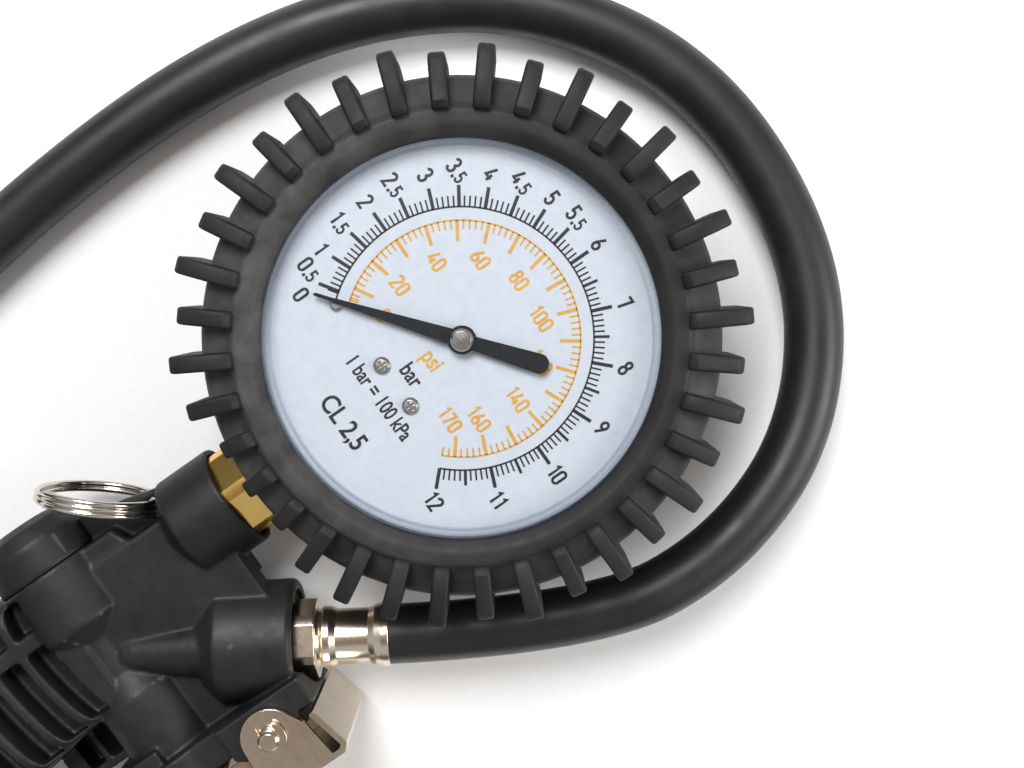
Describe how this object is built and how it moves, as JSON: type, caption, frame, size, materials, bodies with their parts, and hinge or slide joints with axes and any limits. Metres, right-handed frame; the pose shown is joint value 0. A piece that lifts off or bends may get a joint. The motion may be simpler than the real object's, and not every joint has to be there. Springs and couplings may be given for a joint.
{
  "type": "tyre inflator with dial gauge",
  "caption": "Pistol-grip tyre inflator with a dial pressure gauge in a finned rubber boot, a lever-operated valve, a key ring and a short hose with a clip-on chuck.",
  "frame": {"origin": "on the gauge axis, at the flat back of the boot, which rests on the surface", "axes": "+Z out of the dial, +Y to the dial's 12 o'clock, the grip hangs towards -Y, +X to the trigger side"},
  "size_m": [0.1441, 0.2927, 0.0456],
  "materials": {
    "rubber_boot": "moulded matte rubber",
    "steel_case": "black painted pressed steel",
    "clear_lens": "clear moulded polycarbonate",
    "rubber_seal": "smooth nitrile rubber",
    "dial_white": "white printed aluminium sheet",
    "steel_screw": "zinc plated steel",
    "brass_part": "turned and stamped brass",
    "pointer_black": "matt black paint",
    "steel_bright": "bright turned steel",
    "bronze_tube": "phosphor bronze",
    "brass_hex": "bright machined brass",
    "nylon_body": "charcoal glass-filled nylon with a fine grain",
    "steel_spring": "spring wire",
    "nickel_plate": "nickel plated, soft shine",
    "nickel_bright": "bright nickel plated spring steel",
    "hose_rubber": "smooth satin black rubber"
  },
  "bodies": {
    "body": {"gauge_boot": "rubber_boot", "gauge_case": "steel_case", "gauge_lens": "clear_lens", "lens_gasket": "rubber_seal", "dial_plate": "dial_white", "dial_screws": "steel_screw", "dial_posts": "brass_part", "pointer_stop_pin": "steel_screw", "movement_back_plate": "brass_part", "movement_front_plate": "brass_part", "movement_pillars": "brass_part", "movement_screws": "steel_screw", "bourdon_tube": "bronze_tube", "bourdon_tip": "brass_part", "hairspring": "bronze_tube", "gauge_stem": "brass_hex", "gauge_seal": "rubber_seal", "valve_body": "nylon_body", "barrel_cap": "nylon_body", "valve_seat": "brass_part", "valve_spring": "steel_spring", "stem_o_ring": "rubber_seal", "stem_guide": "brass_hex", "trigger_pin": "nickel_plate", "trigger_clip": "nickel_plate", "inlet_bush": "brass_hex", "inlet_filter": "bronze_tube", "hose_fitting": "nickel_plate", "fitting_seal": "rubber_seal", "hose_ferrule": "nickel_plate", "hose": "hose_rubber", "chuck_ferrule": "nickel_plate", "chuck_body": "nickel_plate", "chuck_seal": "rubber_seal", "chuck_depressor": "brass_part", "chuck_clip_pin": "steel_bright", "chuck_clip_spring": "steel_spring"},
    "pointer": {"pointer": "pointer_black", "pointer_cap": "steel_bright", "pinion_shaft": "brass_part"},
    "sector": {"sector_gear": "brass_part"},
    "link": {"link": "steel_screw"},
    "valve": {"valve_stem": "steel_bright", "valve_poppet": "brass_part", "poppet_seal": "rubber_seal"},
    "trigger": {"trigger_lever": "nickel_plate"},
    "key_ring": {"key_ring": "nickel_bright"},
    "chuck_clip": {"chuck_clip": "nickel_plate"}
  },
  "joints": [
    {"name": "trigger_pivot", "type": "hinge", "parent": "body", "child": "trigger", "pos_m": [0.04, -0.0716, 0.017], "axis": [0, 0, -1], "range_deg": [0, 9], "stiffness_Nm_per_rad": 2, "springref_deg": -11.46},
    {"name": "valve_slide", "type": "slide", "parent": "body", "child": "valve", "axis": [-1, 0, 0], "range_m": [0, 0.0033], "deforming": ["valve_spring"]},
    {"name": "pointer_spin", "type": "hinge", "parent": "body", "child": "pointer", "pos_m": [0, 0, 0.039], "axis": [0, 0, -1], "range_deg": [0, 262.9]},
    {"name": "sector_swing", "type": "hinge", "parent": "body", "child": "sector", "pos_m": [-0.01148, -0.01148, 0.017], "axis": [0, 0, -1], "range_deg": [-33.2, 0]},
    {"name": "link_swing", "type": "hinge", "parent": "sector", "child": "link", "pos_m": [-0.00748, -0.01841, 0.018], "axis": [0, 0, -1], "range_deg": [0, 33.2]},
    {"name": "key_ring_swing", "type": "hinge", "parent": "body", "child": "key_ring", "pos_m": [-0.007, -0.0676, 0.017], "axis": [0, 0, 1], "range_deg": [-50, 2]},
    {"name": "chuck_clip_pivot", "type": "hinge", "parent": "body", "child": "chuck_clip", "pos_m": [-0.06883, -0.17082, 0.0058], "axis": [0, 0, 1], "range_deg": [-11, 0], "stiffness_Nm_per_rad": 0.6, "springref_deg": 8.59}
  ],
  "couplings": [
    {"joint": "valve_slide", "follows": "trigger_pivot", "m_per_rad": 0.0199},
    {"joint": "sector_swing", "follows": "pointer_spin", "ratio": -0.125},
    {"joint": "link_swing", "follows": "pointer_spin", "ratio": 0.125}
  ]
}
